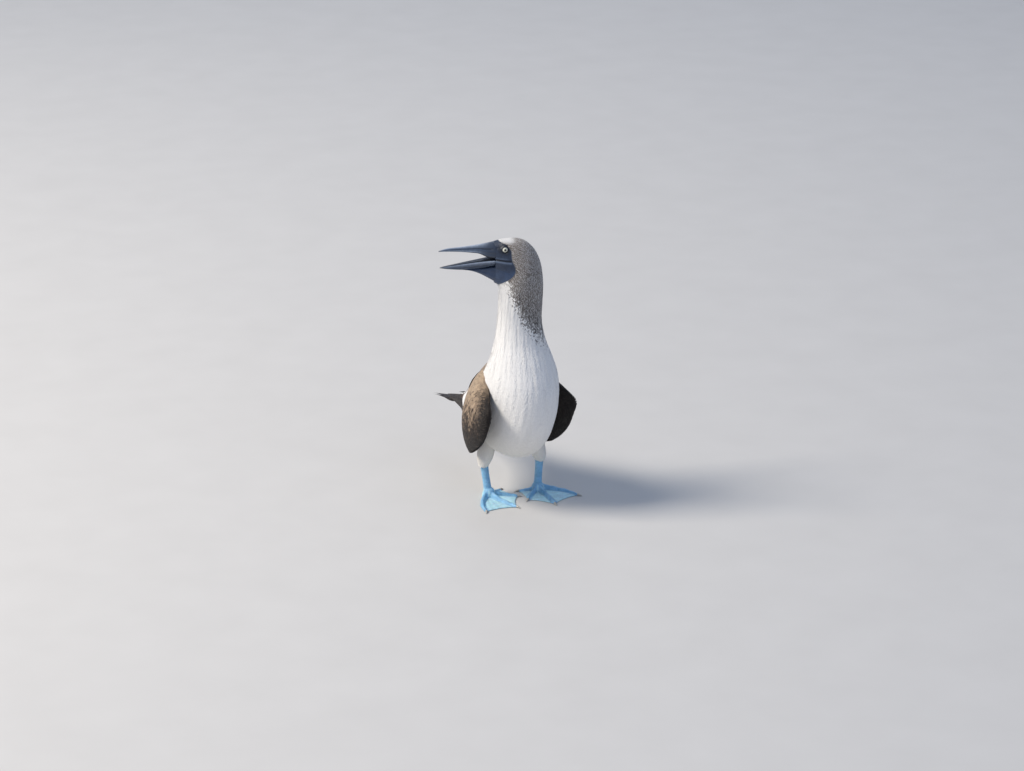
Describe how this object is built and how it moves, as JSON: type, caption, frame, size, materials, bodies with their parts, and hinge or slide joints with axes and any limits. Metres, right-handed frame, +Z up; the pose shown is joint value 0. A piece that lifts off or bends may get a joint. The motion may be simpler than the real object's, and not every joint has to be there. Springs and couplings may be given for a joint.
{
  "type": "blue footed booby",
  "caption": "Life-size standing seabird model with a long open bill, head turned aside, drooped folded wings, pointed tail and webbed blue feet.",
  "frame": {"origin": "on the floor, under the middle of the bird's bounding box", "axes": "+Z up, -Y the way the breast and toes point, +X the bird's own left side"},
  "size_m": [0.2516, 0.4372, 0.4957],
  "materials": {
    "white_feathers": "soft matt",
    "streaked_feathers": "soft matt with pale streaks",
    "wing_feathers": "soft matt with pale fringes",
    "flight_feathers": "satin",
    "foot_skin": "satin, finely scaled",
    "face_skin": "satin, finely wrinkled",
    "bill_horn": "satin",
    "claw_horn": "satin",
    "iris": "gloss"
  },
  "bodies": {
    "root": {"rump": "white_feathers", "trunk": "white_feathers", "breast": "white_feathers", "neck_lower": "streaked_feathers", "neck_upper": "streaked_feathers", "head": "streaked_feathers", "eye_left": "iris", "eye_right": "iris", "upper_bill": "bill_horn", "lower_bill": "bill_horn", "throat_skin": "face_skin", "tail": "flight_feathers", "wing_left": "wing_feathers", "primaries_left": "flight_feathers", "thigh_left": "white_feathers", "shank_left": "foot_skin", "foot_left": "foot_skin", "claw_left_outer": "claw_horn", "claw_left_middle": "claw_horn", "claw_left_inner": "claw_horn", "claw_left_hind": "claw_horn", "wing_right": "wing_feathers", "primaries_right": "flight_feathers", "thigh_right": "white_feathers", "shank_right": "foot_skin", "foot_right": "foot_skin", "claw_right_outer": "claw_horn", "claw_right_middle": "claw_horn", "claw_right_inner": "claw_horn", "claw_right_hind": "claw_horn"}
  },
  "joints": []
}
